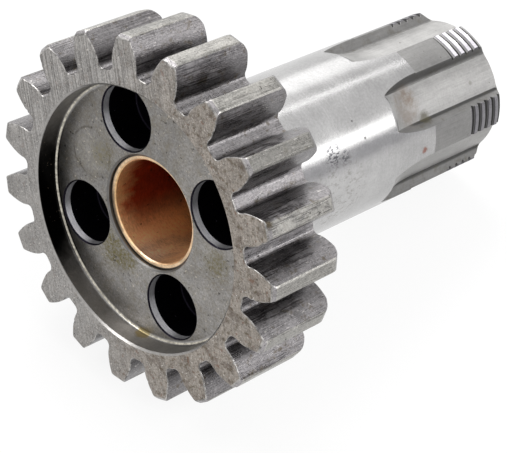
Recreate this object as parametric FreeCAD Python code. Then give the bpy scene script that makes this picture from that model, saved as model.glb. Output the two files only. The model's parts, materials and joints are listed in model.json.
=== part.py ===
import FreeCAD, Part
import math
import os

# A gearbox output shaft of the sleeve-gear kind. One steel forging carries a spur gear with a
# recessed face and four blind dog holes, a ground journal, and a splined end for a sprocket.
# A bronze bush is pressed into each end of its bore, for the mainshaft that runs through it.
# All sizes are millimetres.

# Gear teeth, 8 to the inch of pitch diameter, of full height
teeth = 19
module = 25.4 / 8
pressure_angle = 20.0
addendum = 3.175               # from the pitch circle out to the tooth tips
dedendum = 3.4125              # from the pitch circle in to the roots
tooth_thickening = 0.31        # each tooth is this much thicker than half the pitch
root_fillet = 1.1
gear_width = 16.6
front_tip_chamfer = 0.6
rear_tip_round = 2.4

# Recessed face
rim = 2.75                     # between the tooth roots and the recess
recess_depth = 4.3
recess_corner = 0.8
recess_edge = 0.35

# Dog holes in the floor of the recess
dog_count = 4
dog_wall_gap = 1.1             # between a hole and the wall of the recess
dog_bore_gap = 0.7             # between a hole and the bore
dog_depth = 8.0
dog_edge = 0.25
dog_turn = 54.75               # degrees from the X axis to the first hole

# Shaft behind the gear
journal_radius = 15.5
shoulder_fillet = 1.0
spline_relief = 0.15           # the lands are this much lower than the journal near the end
relief_start = 62.8
land_end = 82.5
shaft_length = 84.2

# Splines
splines = 6
spline_root_radius = 13.3
land_width = 5.7               # across the top of a land
flank_slope = 12.0             # degrees that each flank leans from the middle of its land
spline_fillet = 0.6
runout_start = 52.6            # where the grooves leave the journal
cutter_radius = 22.0
land_turn = 42.2               # degrees from the X axis to the middle of one land

# Bore and bushes
bush_bore_radius = 9.4
bush_wall = 1.0
bush_length = 25.0
front_bush_sink = 0.8          # below the floor of the recess
rear_bush_sink = 1.0           # inside the splined end
bore_relief = 0.6              # the bore is this much wider between the bushes
bore_edge = 0.3
rear_bore_edge = 0.6
bush_edge = 0.25

# How far a cutting tool starts outside the metal, and how far it swings on past it
tool_clearance = 1.0
spare_swing = 8.0              # degrees

# Axis of every turned surface, along which the shaft is modelled before it is laid down
ORIGIN = FreeCAD.Vector(0, 0, 0)
AXIS = FreeCAD.Vector(0, 0, 1)


def polar(radius, degrees, height=0.0):
    """A point at a radius and an angle round the shaft axis."""
    angle = math.radians(degrees)
    return FreeCAD.Vector(radius * math.cos(angle), radius * math.sin(angle), height)


def turned(points):
    """A solid of revolution from a closed outline of (radius, height) corners."""
    corners = [FreeCAD.Vector(radius, 0, height) for radius, height in points]
    face = Part.Face(Part.makePolygon(corners + corners[:1]))
    return face.revolve(ORIGIN, AXIS, 360)


def cylinder(radius, low, high):
    """A plain cylinder round the shaft axis."""
    return Part.makeCylinder(radius, high - low, FreeCAD.Vector(0, 0, low), AXIS)


def cone(low_radius, high_radius, low, high):
    """A cone frustum round the shaft axis, for chamfered mouths."""
    return Part.makeCone(low_radius, high_radius, high - low, FreeCAD.Vector(0, 0, low), AXIS)


def arc(start, middle, end):
    """The edge of a circle through three points."""
    return Part.Arc(start, middle, end).toShape()


# Sizes that follow from those above
pitch_radius = module * teeth / 2
base_radius = pitch_radius * math.cos(math.radians(pressure_angle))
tip_radius = pitch_radius + addendum
root_radius = pitch_radius - dedendum
tooth_thickness = math.pi * module / 2 + tooth_thickening
tooth_pitch = 360.0 / teeth
recess_radius = root_radius - rim
seat_radius = bush_bore_radius + bush_wall
dog_radius = (recess_radius - seat_radius - dog_wall_gap - dog_bore_gap) / 2
dog_circle_radius = seat_radius + dog_bore_gap + dog_radius


def involute(radius):
    """Degrees that the involute has turned where it passes this radius."""
    pressure = math.acos(base_radius / radius)
    return math.degrees(math.tan(pressure) - pressure)


half_at_pitch = math.degrees(tooth_thickness / 2 / pitch_radius)
half_at_base = half_at_pitch + involute(pitch_radius)


def half_tooth(radius):
    """Half the tooth's angle, in degrees, at a radius on its flank."""
    return half_at_base - involute(radius)


def tooth_edges(centre):
    """Edges of one tooth and of the root after it, anticlockwise."""
    fillet_centre_radius = root_radius + root_fillet
    fillet_turn = math.degrees(math.asin(root_fillet / fillet_centre_radius))
    foot_radius = math.sqrt(fillet_centre_radius ** 2 - root_fillet ** 2)
    root_turn = half_at_base + fillet_turn
    flank_steps = 8
    radii = [base_radius + (tip_radius - base_radius) * step / flank_steps
             for step in range(flank_steps + 1)]

    def fillet(side):
        middle_of_round = polar(fillet_centre_radius, centre + side * root_turn)
        towards_flank = polar(foot_radius, centre + side * half_at_base) - middle_of_round
        towards_root = polar(root_radius, centre + side * root_turn) - middle_of_round
        bisector = (towards_flank + towards_root).normalize() * root_fillet
        return (middle_of_round + towards_flank, middle_of_round + bisector, middle_of_round + towards_root)

    def flank(side):
        curve = Part.BSplineCurve()
        curve.interpolate([polar(radius, centre + side * half_tooth(radius)) for radius in radii])
        return curve.toShape()

    edges = []
    foot, middle, bottom = fillet(-1)
    edges.append(arc(bottom, middle, foot))
    edges.append(Part.makeLine(foot, polar(base_radius, centre - half_at_base)))
    edges.append(flank(-1))
    half_at_tip = half_tooth(tip_radius)
    edges.append(arc(polar(tip_radius, centre - half_at_tip), polar(tip_radius, centre),
                     polar(tip_radius, centre + half_at_tip)))
    edges.append(flank(1))
    foot, middle, bottom = fillet(1)
    edges.append(Part.makeLine(polar(base_radius, centre + half_at_base), foot))
    edges.append(arc(foot, middle, bottom))
    edges.append(arc(bottom, polar(root_radius, centre + tooth_pitch / 2),
                     polar(root_radius, centre + tooth_pitch - root_turn)))
    return edges


def toothed_blank():
    """The gear: a toothed prism trimmed by the lathe-turned blank that rounds its tooth tips."""
    first_tooth = 90 + tooth_pitch / 2      # a gap, not a tooth, points straight down
    edges = []
    for index in range(teeth):
        edges += tooth_edges(first_tooth + index * tooth_pitch)
    outline = Part.Wire(Part.__sortEdges__(edges))
    prism = Part.Face(outline).extrude(AXIS * gear_width)
    outer = tip_radius + tool_clearance
    blank = cylinder(outer, 0, gear_width)
    tip_edge_rounds = front_trim(outer).fuse(rear_trim(outer))
    return prism.common(blank.cut(tip_edge_rounds))


def front_trim(outer):
    """What the lathe takes off the front corner of the tooth tips."""
    inner = tip_radius - front_tip_chamfer
    return turned([(inner, 0), (outer, 0), (outer, front_tip_chamfer + outer - tip_radius)])


def rear_trim(outer):
    """What the lathe takes off the rear corner of the tooth tips, leaving a round."""
    inner = tip_radius - rear_tip_round
    start = gear_width - rear_tip_round
    low = FreeCAD.Vector(tip_radius, 0, start)
    high = FreeCAD.Vector(inner, 0, gear_width)
    slant = rear_tip_round * math.sqrt(0.5)
    middle = FreeCAD.Vector(inner + slant, 0, start + slant)
    far_high = FreeCAD.Vector(outer, 0, gear_width)
    far_low = FreeCAD.Vector(outer, 0, start)
    edges = [arc(low, middle, high), Part.makeLine(high, far_high),
             Part.makeLine(far_high, far_low), Part.makeLine(far_low, low)]
    return Part.Face(Part.Wire(edges)).revolve(ORIGIN, AXIS, 360)


def shaft_blank():
    """The turned shaft behind the gear, with its shoulder fillet, relief and chamfered end."""
    land_radius = journal_radius - spline_relief
    bore = bush_bore_radius
    inside_gear = gear_width / 2
    shoulder = FreeCAD.Vector(journal_radius + shoulder_fillet, 0, gear_width)
    fillet_end = FreeCAD.Vector(journal_radius, 0, gear_width + shoulder_fillet)
    inward = shoulder_fillet * (1 - math.sqrt(0.5))
    fillet_middle = FreeCAD.Vector(journal_radius + inward, 0, gear_width + inward)
    outline = [(journal_radius, relief_start), (land_radius, relief_start), (land_radius, land_end),
               (spline_root_radius, shaft_length), (bore, shaft_length), (bore, inside_gear),
               (journal_radius + shoulder_fillet, inside_gear)]
    corners = [fillet_end] + [FreeCAD.Vector(radius, 0, height) for radius, height in outline] + [shoulder]
    edges = [Part.makeLine(one, other) for one, other in zip(corners, corners[1:])]
    edges.append(arc(shoulder, fillet_middle, fillet_end))
    return Part.Face(Part.Wire(edges)).revolve(ORIGIN, AXIS, 360)


def recess_tool():
    """What is bored out of the gear's front face: a flat floor with a rounded corner and a broken edge."""
    above = -tool_clearance
    round_start = recess_depth - recess_corner
    inward = recess_corner * (1 - math.sqrt(0.5))
    wall = FreeCAD.Vector(recess_radius, 0, round_start)
    floor = FreeCAD.Vector(recess_radius - recess_corner, 0, recess_depth)
    middle = FreeCAD.Vector(recess_radius - inward, 0, recess_depth - inward)
    centre_floor = FreeCAD.Vector(0, 0, recess_depth)
    centre_top = FreeCAD.Vector(0, 0, above)
    top = FreeCAD.Vector(recess_radius + recess_edge - above, 0, above)
    edge = FreeCAD.Vector(recess_radius, 0, recess_edge)
    edges = [arc(wall, middle, floor), Part.makeLine(floor, centre_floor),
             Part.makeLine(centre_floor, centre_top), Part.makeLine(centre_top, top),
             Part.makeLine(top, edge), Part.makeLine(edge, wall)]
    return Part.Face(Part.Wire(edges)).revolve(ORIGIN, AXIS, 360)


def dog_tools():
    """The blind dog holes, each with a lightly broken mouth."""
    tools = []
    for index in range(dog_count):
        place = polar(dog_circle_radius, dog_turn + index * 360.0 / dog_count)
        hole = cylinder(dog_radius, recess_depth - dog_edge, recess_depth + dog_depth)
        mouth = cone(dog_radius + 2 * dog_edge, dog_radius, recess_depth - dog_edge, recess_depth + dog_edge)
        tool = hole.fuse(mouth)
        tool.translate(place)
        tools.append(tool)
    return tools


def bore_tool():
    """The through bore: a seat for each bush, wider between them, with chamfered mouths."""
    seat = seat_radius
    front_end = recess_depth + front_bush_sink + bush_length
    rear_start = shaft_length - rear_bush_sink - bush_length
    relieved = seat + bore_relief
    front_mouth = recess_depth - bore_edge
    return turned([
        (0, front_mouth), (seat + 2 * bore_edge, front_mouth), (seat, recess_depth + bore_edge),
        (seat, front_end), (relieved, front_end + bore_relief), (relieved, rear_start - bore_relief),
        (seat, rear_start), (seat, shaft_length - rear_bore_edge),
        (seat + 2 * rear_bore_edge, shaft_length + rear_bore_edge), (0, shaft_length + rear_bore_edge)])


def spline_groove_section(height):
    """Cross-section of the groove between two lands, with its middle along the X axis."""
    half_step = 180.0 / splines
    land_half = land_width / 2
    land_reach = math.sqrt(journal_radius ** 2 - land_half ** 2)
    slope = math.radians(flank_slope)
    outward = FreeCAD.Vector(math.cos(slope), -math.sin(slope), 0)
    normal = FreeCAD.Vector(math.sin(slope), math.cos(slope), 0)
    top = FreeCAD.Vector(land_reach, land_half, 0)

    # The fillet's centre is one fillet radius from the flank and from the root circle
    start = top + normal * spline_fillet
    centre_radius = spline_root_radius + spline_fillet
    along = start.dot(outward)
    reach = -along - math.sqrt(along ** 2 - start.dot(start) + centre_radius ** 2)
    reach = max(reach, -along + math.sqrt(along ** 2 - start.dot(start) + centre_radius ** 2))
    centre = start + outward * reach
    on_flank = centre - normal * spline_fillet
    on_root = centre * (spline_root_radius / centre_radius)
    towards_middle = ((on_flank - centre) + (on_root - centre)).normalize()
    mid_round = centre + towards_middle * spline_fillet
    far = top + outward * (spline_relief + tool_clearance)

    # From the land's own axes to the groove's: turn the flank to one side, then mirror it
    def placed(point, side):
        turn = FreeCAD.Rotation(AXIS, -half_step)
        moved = turn.multVec(point)
        return FreeCAD.Vector(moved.x, side * moved.y, height)

    low = {side: [placed(point, side) for point in (far, on_flank, mid_round, on_root)] for side in (1, -1)}
    edges = []
    for side in (1, -1):
        outer, flank_foot, round_middle, root_end = low[side]
        edges.append(Part.makeLine(outer, flank_foot))
        edges.append(arc(flank_foot, round_middle, root_end))
    bottom = FreeCAD.Vector(spline_root_radius, 0, height)
    edges.append(arc(low[1][3], bottom, low[-1][3]))
    above = FreeCAD.Vector(far.Length, 0, height)
    edges.append(arc(low[1][0], above, low[-1][0]))
    return Part.Face(Part.Wire(Part.__sortEdges__(edges)))


def groove_tools():
    """The spline grooves: straight to the end, and curved out by the round cutter at the start."""
    depth = journal_radius - spline_root_radius
    runout = math.sqrt(cutter_radius ** 2 - (cutter_radius - depth) ** 2)
    full_depth_start = runout_start + runout
    section = spline_groove_section(full_depth_start)
    straight = section.extrude(AXIS * (shaft_length + tool_clearance - full_depth_start))
    cutter_centre = FreeCAD.Vector(spline_root_radius + cutter_radius, 0, full_depth_start)
    cutter_axis = FreeCAD.Vector(0, 1, 0)
    swing = math.degrees(math.asin(runout / cutter_radius)) + spare_swing
    lifted = section.copy()
    lifted.rotate(cutter_centre, cutter_axis, -swing)
    curved = lifted.revolve(cutter_centre, cutter_axis, swing)
    tools = []
    for index in range(splines):
        for stretch in (straight, curved):
            copy = stretch.copy()
            copy.rotate(ORIGIN, AXIS, land_turn + (index + 0.5) * 360.0 / splines)
            tools.append(copy)
    return tools


def gear_shaft():
    """The whole steel forging."""
    solid = toothed_blank().fuse(shaft_blank())
    solid = solid.cut(recess_tool())
    solid = solid.cut(bore_tool())
    for tool in dog_tools() + groove_tools():
        solid = solid.cut(tool)
    return solid.removeSplitter()


def bush(low):
    """A plain bronze bush with its inner edges broken."""
    high = low + bush_length
    outer = seat_radius
    eased = bush_bore_radius + bush_edge
    return turned([
        (eased, low), (outer, low), (outer, high), (eased, high),
        (bush_bore_radius, high - bush_edge), (bush_bore_radius, low + bush_edge)])


def resting_tilt():
    """Degrees that the spline end drops when the part lies on two tooth tips and one land."""
    half_at_tip = half_tooth(tip_radius)
    tooth_drop = tip_radius * math.cos(math.radians(tooth_pitch / 2 - half_at_tip))
    tooth_contact = gear_width - rear_tip_round
    land_radius = journal_radius - spline_relief
    half_land = math.degrees(math.asin(land_width / 2 / journal_radius))
    land_step = 360.0 / splines
    off_down = abs((land_turn - 90 + land_step / 2) % land_step - land_step / 2)
    land_drop = land_radius * math.cos(math.radians(max(0.0, off_down - half_land)))
    return math.degrees(math.atan2(tooth_drop - land_drop, land_end - tooth_contact))


def laid_down(shapes):
    """Turn the upright shaft on its side as it rests, gear to -Y, with its box centred on Z = 0."""
    turn = FreeCAD.Rotation(FreeCAD.Vector(1, 0, 0), -(90 + resting_tilt()))
    for shape in shapes:
        shape.Placement = FreeCAD.Placement(ORIGIN, turn)
    box = shapes[0].optimalBoundingBox(False, False)
    shift = FreeCAD.Vector(-box.Center.x, -box.Center.y, -box.ZMin)
    for shape in shapes:
        shape.translate(shift)
    print("tilt", resting_tilt(), "middle of the gear's front face", tuple(shift))


front_bush_start = recess_depth + front_bush_sink
rear_bush_start = shaft_length - rear_bush_sink - bush_length
pieces = {
    "gear_shaft": gear_shaft(),
    "front_bush": bush(front_bush_start),
    "rear_bush": bush(rear_bush_start),
}
laid_down(list(pieces.values()))

os.makedirs("parts", exist_ok=True)
for name, shape in pieces.items():
    print(name, "valid", shape.isValid(), "solids", len(shape.Solids), "volume", shape.Volume)
    shape.exportStep("parts/" + name + ".step")
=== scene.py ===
# %% [markdown]
# A gearbox output shaft. It is one steel forging, with a spur gear at one end and a splined end for a
# sprocket at the other, and a bronze bush is pressed into each end of its bore. This file gives the part
# its looks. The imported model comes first, because it says where everything lies and how large it is, and
# the new surfaces are worked out from the same sizes, so nothing has to be fitted afterwards.

# %% Load the fixed frame
import json
import math

import bmesh
import bpy
import numpy as np
from mathutils import Matrix, Vector


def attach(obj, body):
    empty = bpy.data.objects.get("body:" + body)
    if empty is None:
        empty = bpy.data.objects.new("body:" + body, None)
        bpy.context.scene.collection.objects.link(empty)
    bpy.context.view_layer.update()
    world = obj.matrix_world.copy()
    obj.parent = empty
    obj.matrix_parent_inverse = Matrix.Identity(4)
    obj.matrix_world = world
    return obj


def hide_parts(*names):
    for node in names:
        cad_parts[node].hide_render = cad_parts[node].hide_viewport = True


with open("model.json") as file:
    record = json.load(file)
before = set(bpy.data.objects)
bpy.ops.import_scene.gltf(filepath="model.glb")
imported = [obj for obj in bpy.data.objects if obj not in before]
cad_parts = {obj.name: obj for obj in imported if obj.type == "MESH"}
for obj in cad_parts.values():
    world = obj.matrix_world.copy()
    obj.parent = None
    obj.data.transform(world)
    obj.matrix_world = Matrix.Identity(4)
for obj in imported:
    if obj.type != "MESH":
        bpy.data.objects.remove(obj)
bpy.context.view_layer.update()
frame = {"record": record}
mm = 0.001

# %% [markdown]
# Every surface of a turned part is easiest to describe upright, with its own axis as Z. The part lies on
# its side, so one helper turns upright millimetres into the row's metres. Its axis comes from the bore of
# the rear bush, and its zero height from the gear's front face, as the frame's mounts give them.

# %% The shaft's own axes
mounts = {mount["name"]: mount for mount in frame["record"]["mounts"]}
along = np.array(mounts["rear_bush_bore"]["axis"])
along = along / np.linalg.norm(along)
bore_point = np.array(mounts["rear_bush_bore"]["pos_m"])
face_point = np.array(mounts["gear_front_face"]["pos_m"])
front_centre = bore_point + along * np.dot(face_point - bore_point, along)
across = np.array([1.0, 0.0, 0.0])
beneath = np.cross(along, across)
shaft_axes = np.array([across, beneath, along])


def to_row(points):
    """Upright millimetres to the row frame: metres along the three axes, from the front face's centre."""
    return front_centre + (np.asarray(points) * mm) @ shaft_axes


def ring(radius, degrees, height):
    """Points on circles: x and y are the radius times the cosine and sine of the angle, z the height."""
    radius, degrees, height = np.broadcast_arrays(radius, degrees, height)
    angle = np.radians(degrees)
    return np.stack([radius * np.cos(angle), radius * np.sin(angle), height], axis=-1)


def polar(points):
    """The way back: the radius of points, and their angle in degrees."""
    x, y = points[..., 0], points[..., 1]
    return np.hypot(x, y), np.degrees(np.arctan2(y, x))


print("front face centre", front_centre, "axis", along)

# %% [markdown]
# The sizes are the real ones in millimetres, the same as in the solid model. They could be measured on the
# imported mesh, but named values can be read and changed. The small ones at the end are what a solid model
# leaves out: broken edges that catch the light, and the thread on the splines.

# %% Sizes
teeth = 19
module = 25.4 / 8
pressure_angle = 20.0
addendum = 3.175
dedendum = 3.4125
added_thickness = 0.31
pitch_radius = module * teeth / 2
base_radius = pitch_radius * math.cos(math.radians(pressure_angle))
tip_radius = pitch_radius + addendum
root_radius = pitch_radius - dedendum
tooth_thickness = math.pi * module / 2 + added_thickness
root_fillet = 1.1
gear_width = 16.6
front_chamfer = 0.6
rear_round = 2.4

rim_width = 2.75
recess_radius = root_radius - rim_width
recess_depth = 4.3
recess_corner = 0.8
recess_edge = 0.35
hole_count = 4
hole_radius = 5.9
hole_circle = 17.0
hole_depth = 8.0
hole_edge = 0.25
hole_corner = 0.4
hole_band = 1.25
hole_relief = 0.12
hole_turn = 54.75

journal_radius = 15.5
shoulder_fillet = 1.0
land_radius = 15.35
relief_start = 62.8
land_end = 82.5
shaft_length = 84.2
splines = 6
spline_root = 13.3
land_width = 5.7
flank_slope = 12.0
spline_fillet = 0.6
runout_start = 52.6
cutter_radius = 22.0
land_turn = 42.2

seat_radius = 10.4
bush_radius = 9.4
bush_length = 25.0
front_bush_start = 5.1
rear_bush_start = shaft_length - 1.0 - bush_length
bore_relief = 0.6
bore_edge = 0.3
rear_bore_edge = 0.6
bush_edge = 0.25

tooth_edge = 0.16
tip_edge = 0.18
deepest_nick = 0.36
land_edge = 0.14
thread_start = 73.55
thread_first = 74.1
thread_pitch = 2.0
thread_width = 1.2
thread_floor = 0.2
thread_depth = 0.65
print("gear tip radius", tip_radius, "root radius", root_radius, "tooth thickness", tooth_thickness)

# %% [markdown]
# The forging is one closed skin. It is made of grids of points, each a short stretch of surface, taken in
# the order that a finger would travel: up the bore, out over the recess floor, up its wall, over the gear
# and its teeth, down the back, along the shaft and over its end. In each grid the columns go round the
# axis and the rows follow the finger, so one rule points all faces outwards. Grids with different numbers
# of columns are joined by a zip of triangles.

# %% Sheets of points
sheets = []


def grid_block(points, finish, closed=True):
    """A grid of points as four-cornered faces. In a closed grid the last column joins the first.
    Corner order: along the columns first, then on by one row, so the normal is column step x row step."""
    rows, columns = points.shape[:2]
    index = np.arange(rows * columns).reshape(rows, columns)
    here, beside = (index, np.roll(index, -1, axis=1)) if closed else (index[:, :-1], index[:, 1:])
    faces = np.stack([here[:-1], beside[:-1], beside[1:], here[1:]], axis=-1).reshape(-1, 4)
    return points.reshape(-1, 3), faces, finish


def add_sheet(points, finish):
    """Stores a grid whose columns close on themselves."""
    sheets.append(grid_block(points, finish))


def add_zip(first, second, finish):
    """Joins two closed rings with different numbers of points.
    All points are put in order of their angle. Each step to a point of one ring makes a triangle with
    the last point passed on the other."""
    def by_angle(points):
        """The points in order of their angle, and the angles."""
        degrees = polar(points)[1] % 360
        order = np.argsort(degrees, kind="stable")
        return points[order], degrees[order]

    first, first_angle = by_angle(first)
    second, second_angle = by_angle(second)
    count = len(first)
    order = np.argsort(np.concatenate([first_angle, second_angle]), kind="stable")
    on_first = order < count
    passed_first = np.cumsum(on_first) - 1
    passed_second = np.cumsum(~on_first) - 1
    own = order[on_first]
    triangles = np.stack([(own - 1) % count, own,
                          count + passed_second[on_first] % len(second)], axis=-1)
    own = order[~on_first] - count
    others = np.stack([count + own, count + (own - 1) % len(second),
                       passed_first[~on_first] % count], axis=-1)
    sheets.append((np.concatenate([first, second]), np.concatenate([triangles, others]), finish))


def fillet_arc(centre, start, end, steps):
    """Points of a short arc: the angle about its centre goes evenly from the start to the end point."""
    first = math.atan2(start[1] - centre[1], start[0] - centre[0])
    last = math.atan2(end[1] - centre[1], end[0] - centre[0])
    sweep = (last - first + math.pi) % (2 * math.pi) - math.pi
    angle = first + sweep * np.linspace(0, 1, steps + 1)
    size = math.hypot(start[0] - centre[0], start[1] - centre[1])
    return np.stack([centre[0] + size * np.cos(angle), centre[1] + size * np.sin(angle)], axis=-1)


# %% [markdown]
# A gear tooth's flank is an involute, the line drawn by the end of a string that unwinds from a circle.
# The teeth could be extruded from one outline and bevelled, but the lathe rounds the tips before the teeth
# are cut. So the outline of one tooth, from the middle of one root to the middle of the next, is a function
# of the tip radius: nearer the ends of the tooth the tip comes lower, and the flanks simply stop there.
# Knocks have left small nicks along the front edges, which take a little more off the rounded edge.

# %% Outline of the teeth
tooth_pitch = 360.0 / teeth
first_tooth = 90 + tooth_pitch / 2
root_points = 4
fillet_points = 6
flank_points = 12
crest_points = 4


def half_tooth(radius):
    """Half the tooth's angle at a radius: that at the base circle less the involute, tan p - p, where the
    cosine of p is the base radius over the radius."""
    def involute(r):
        """tan p - p in degrees."""
        pressure = np.arccos(np.clip(base_radius / r, None, 1.0))
        return np.degrees(np.tan(pressure) - pressure)

    at_pitch = math.degrees(tooth_thickness / 2 / pitch_radius)
    return at_pitch + involute(pitch_radius) - involute(radius)


half_at_base = float(half_tooth(base_radius))
fillet_ring = root_radius + root_fillet
root_turn = half_at_base + math.degrees(math.asin(root_fillet / fillet_ring))
foot_radius = math.sqrt(fillet_ring ** 2 - root_fillet ** 2)


def tooth_outline(tip):
    """Radius and angle round all teeth for one tip radius: root arc, fillet, flank, crest, and back."""
    root_angle = np.linspace(-tooth_pitch / 2, -root_turn, root_points + 1)[:-1]
    centre = ring(fillet_ring, -root_turn, 0)
    fillet_radius, fillet_angle = polar(fillet_arc(
        centre, ring(root_radius, -root_turn, 0), ring(foot_radius, -half_at_base, 0), fillet_points)[:-1])
    flank_radius = np.linspace(foot_radius, tip - tip_edge, flank_points + 1)
    flank_angle = -half_tooth(np.maximum(flank_radius, base_radius))
    crest_start = float(half_tooth(tip)) - math.degrees(tip_edge / tip)
    crest_angle = np.linspace(-crest_start, 0, crest_points + 1)
    radius = np.concatenate([np.full(root_points, root_radius), fillet_radius, flank_radius,
                             np.full(crest_points + 1, tip)])
    angle = np.concatenate([root_angle, fillet_angle, flank_angle, crest_angle])
    radius = np.concatenate([radius, radius[-2:0:-1]])
    angle = np.concatenate([angle, -angle[-2:0:-1]])
    turns = first_tooth + tooth_pitch * np.arange(teeth)
    return np.tile(radius, teeth), (turns[:, None] + angle[None, :]).ravel()


def nick_depth(radius, degrees, tip):
    """Nicks of the front edges in mm: a few high waves, where the product of two sines is raised to a
    power. They fade out towards the root and the tip, so that the faces of a tooth's end never fold."""
    angle = np.radians(degrees)
    waves = np.sin(53 * angle + 2.6 * radius) * np.sin(97 * angle - 3.9 * radius)
    room = np.minimum(radius - root_radius - root_fillet, tip - 2 * tip_edge - radius)
    return deepest_nick * np.clip(2 * room, 0, 1) * np.clip(waves, 0, 1) ** 5


def tooth_row(height):
    """One ring of points round the gear. The tip radius follows the front chamfer and the rear round, and
    near either face the outline moves in along its normal, which rounds the edges."""
    tip = tip_radius - max(0.0, front_chamfer - height)
    past = max(0.0, height - (gear_width - rear_round))
    tip -= rear_round - math.sqrt(max(0.0, rear_round ** 2 - past ** 2))
    radius, angle = tooth_outline(tip)
    edge = tooth_edge + nick_depth(radius, angle, tip) * (height < gear_width / 2)
    near = np.minimum(edge, min(height, gear_width - height))
    inset = edge - np.sqrt(edge ** 2 - (edge - near) ** 2)
    row = ring(radius, angle, height)
    step = np.roll(row, -1, axis=0) - np.roll(row, 1, axis=0)
    normal = np.stack([step[:, 1], -step[:, 0], np.zeros(len(row))], axis=-1)
    normal /= np.linalg.norm(normal, axis=1, keepdims=True)
    return row - normal * inset[:, None]


edge_steps = tooth_edge * (1 - np.cos(np.radians([0, 30, 60, 90])))
round_steps = gear_width - rear_round + rear_round * np.sin(np.radians(np.arange(0, 90, 11)))
tooth_heights = np.unique(np.round(np.concatenate([
    edge_steps, np.linspace(tooth_edge, front_chamfer, 4),
    np.linspace(front_chamfer, gear_width - rear_round, 12),
    round_steps[round_steps < gear_width - tooth_edge], gear_width - edge_steps]), 6))
tooth_rows = np.stack([tooth_row(height) for height in tooth_heights])
print("tooth rows", tooth_rows.shape)

# %% [markdown]
# The two flat faces of the gear each have a plain ring, and on it the end of each tooth. The ends are
# ladders, whose rungs go from one flank to the other. Ring and ladders take their outer points from the
# tooth rows, so they meet the teeth without a gap.

# %% Gear faces
row_length = tooth_rows.shape[1] // teeth
fillet_index = root_points
flank_end = root_points + fillet_points + flank_points
rungs = 2 * crest_points


def tooth_rungs(tooth):
    """Rungs across one tooth's end: the radius and the angle each go evenly from a point of one flank to
    the point across from it on the other flank."""
    near_flank = tooth[fillet_index:flank_end + 1]
    far_flank = tooth[row_length - flank_end:row_length - fillet_index + 1][::-1]
    middle = polar(tooth[flank_end + 1 + crest_points])[1]

    def from_middle(flank):
        """Radius and angle of a flank's points, the angle counted from the tooth's middle."""
        radius, turn = polar(flank)
        return np.stack([radius, (turn - middle + 180) % 360 - 180])[:, :, None]

    start, end = from_middle(near_flank), from_middle(far_flank)
    radius, turn = start + (end - start) * np.linspace(0, 1, rungs + 1)
    return ring(radius, middle + turn, tooth[0, 2])


def face_ring(outline, inner_radius, steps):
    """Rows of the plain ring from the inner circle out to the roots and the lowest rung of each tooth.
    A point keeps its angle from row to row, and its radius goes evenly from the first to the last row."""
    outer = np.concatenate([np.concatenate([tooth[:fillet_index], tooth_rungs(tooth)[0],
                                            tooth[row_length - fillet_index + 1:]])
                            for tooth in outline.reshape(teeth, row_length, 3)])
    outer_radius, angle = polar(outer)
    share = np.linspace(0, 1, steps + 1)[:, None]
    return ring(inner_radius + (outer_radius - inner_radius) * share, angle, outer[0, 2])


def add_tooth_ends(outline, finish, outwards):
    """Fills the flat end of each tooth with its rungs and its crest."""
    for tooth in outline.reshape(teeth, row_length, 3):
        crest = tooth[flank_end + 1:flank_end + 2 + rungs]
        rows = np.concatenate([tooth_rungs(tooth), crest[None]])
        sheets.append(grid_block(rows if outwards else rows[::-1], finish, closed=False))


front_zip = 0.3
back_zip = 0.8
recess_mouth = recess_radius + recess_edge
front_ring = face_ring(tooth_rows[0], recess_mouth + front_zip, steps=4)
add_sheet(front_ring, "face")
add_tooth_ends(tooth_rows[0], "face", outwards=True)
edge_rows = len(edge_steps)
add_sheet(tooth_rows[:edge_rows], "edge")
add_sheet(tooth_rows[edge_rows - 1:], "teeth")
shoulder_radius = journal_radius + shoulder_fillet
back_ring = face_ring(tooth_rows[-1], shoulder_radius + back_zip, steps=8)
add_tooth_ends(tooth_rows[-1], "back", outwards=False)
add_sheet(back_ring[::-1], "back")
print("front ring", front_ring.shape, "back ring", back_ring.shape)

# %% [markdown]
# The recess floor has four holes in it, which a plain ring of faces can't go round. A Boolean could cut
# them, but it leaves untidy faces. So the floor is cut into four quarters, one for each hole, and in each
# the rows start as the hole's circle and end as the quarter's own outline. Straight spokes from the hole's
# middle join the two.

# %% Recess floor
outer_steps = 32
inner_steps = 20
side_steps = 10
floor_rows = 10
floor_outer = recess_radius - recess_corner
bore_mouth = seat_radius + bore_edge
quarter = 180.0 / hole_count


def quarter_outline():
    """The outline of one quarter of the floor, anticlockwise from the middle of its outer arc.
    Two arcs about the shaft axis, joined by straight radial lines."""
    outer = ring(floor_outer, np.linspace(-quarter, quarter, outer_steps + 1), recess_depth)
    inner = ring(bore_mouth, np.linspace(quarter, -quarter, inner_steps + 1), recess_depth)
    share = np.linspace(0, 1, side_steps + 1)[1:-1, None]
    down_side = outer[-1] + (inner[0] - outer[-1]) * share
    up_side = inner[-1] + (outer[0] - inner[-1]) * share
    outline = np.concatenate([outer, down_side, inner, up_side])
    return np.roll(outline, -outer_steps // 2, axis=0)


outline = quarter_outline()
hole_centre = np.array([hole_circle, 0.0, recess_depth])
reach, spoke_angle = polar(outline - hole_centre)
hole_mouth = hole_radius + hole_edge
blend = np.linspace(0, 1, floor_rows + 1)[:, None]
floor_grid = hole_centre + ring(hole_mouth + (reach - hole_mouth) * blend, spoke_angle, 0.0)
floor_grid[-1] = outline
print("quarter of the floor", floor_grid.shape)

# %% [markdown]
# Each hole is a turned profile on the same spokes, from the middle of its flat end over a rounded corner
# and up the wall, so its mouth has the floor's own points. The dogs have rubbed a band below the mouth,
# which ends at a small step. One hole and its quarter of the floor are made, and turned to four places.

# %% Dog holes
def corner_arc(radius, depth, size, steps):
    """A rounded corner in profile, from the floor at its depth to the wall at its radius: the size times
    the sine and cosine of an angle that goes from 0 to 90 degrees."""
    angle = np.radians(np.linspace(0, 90, steps + 1))
    return list(zip(radius - size + size * np.sin(angle), depth - size + size * np.cos(angle)))


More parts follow.
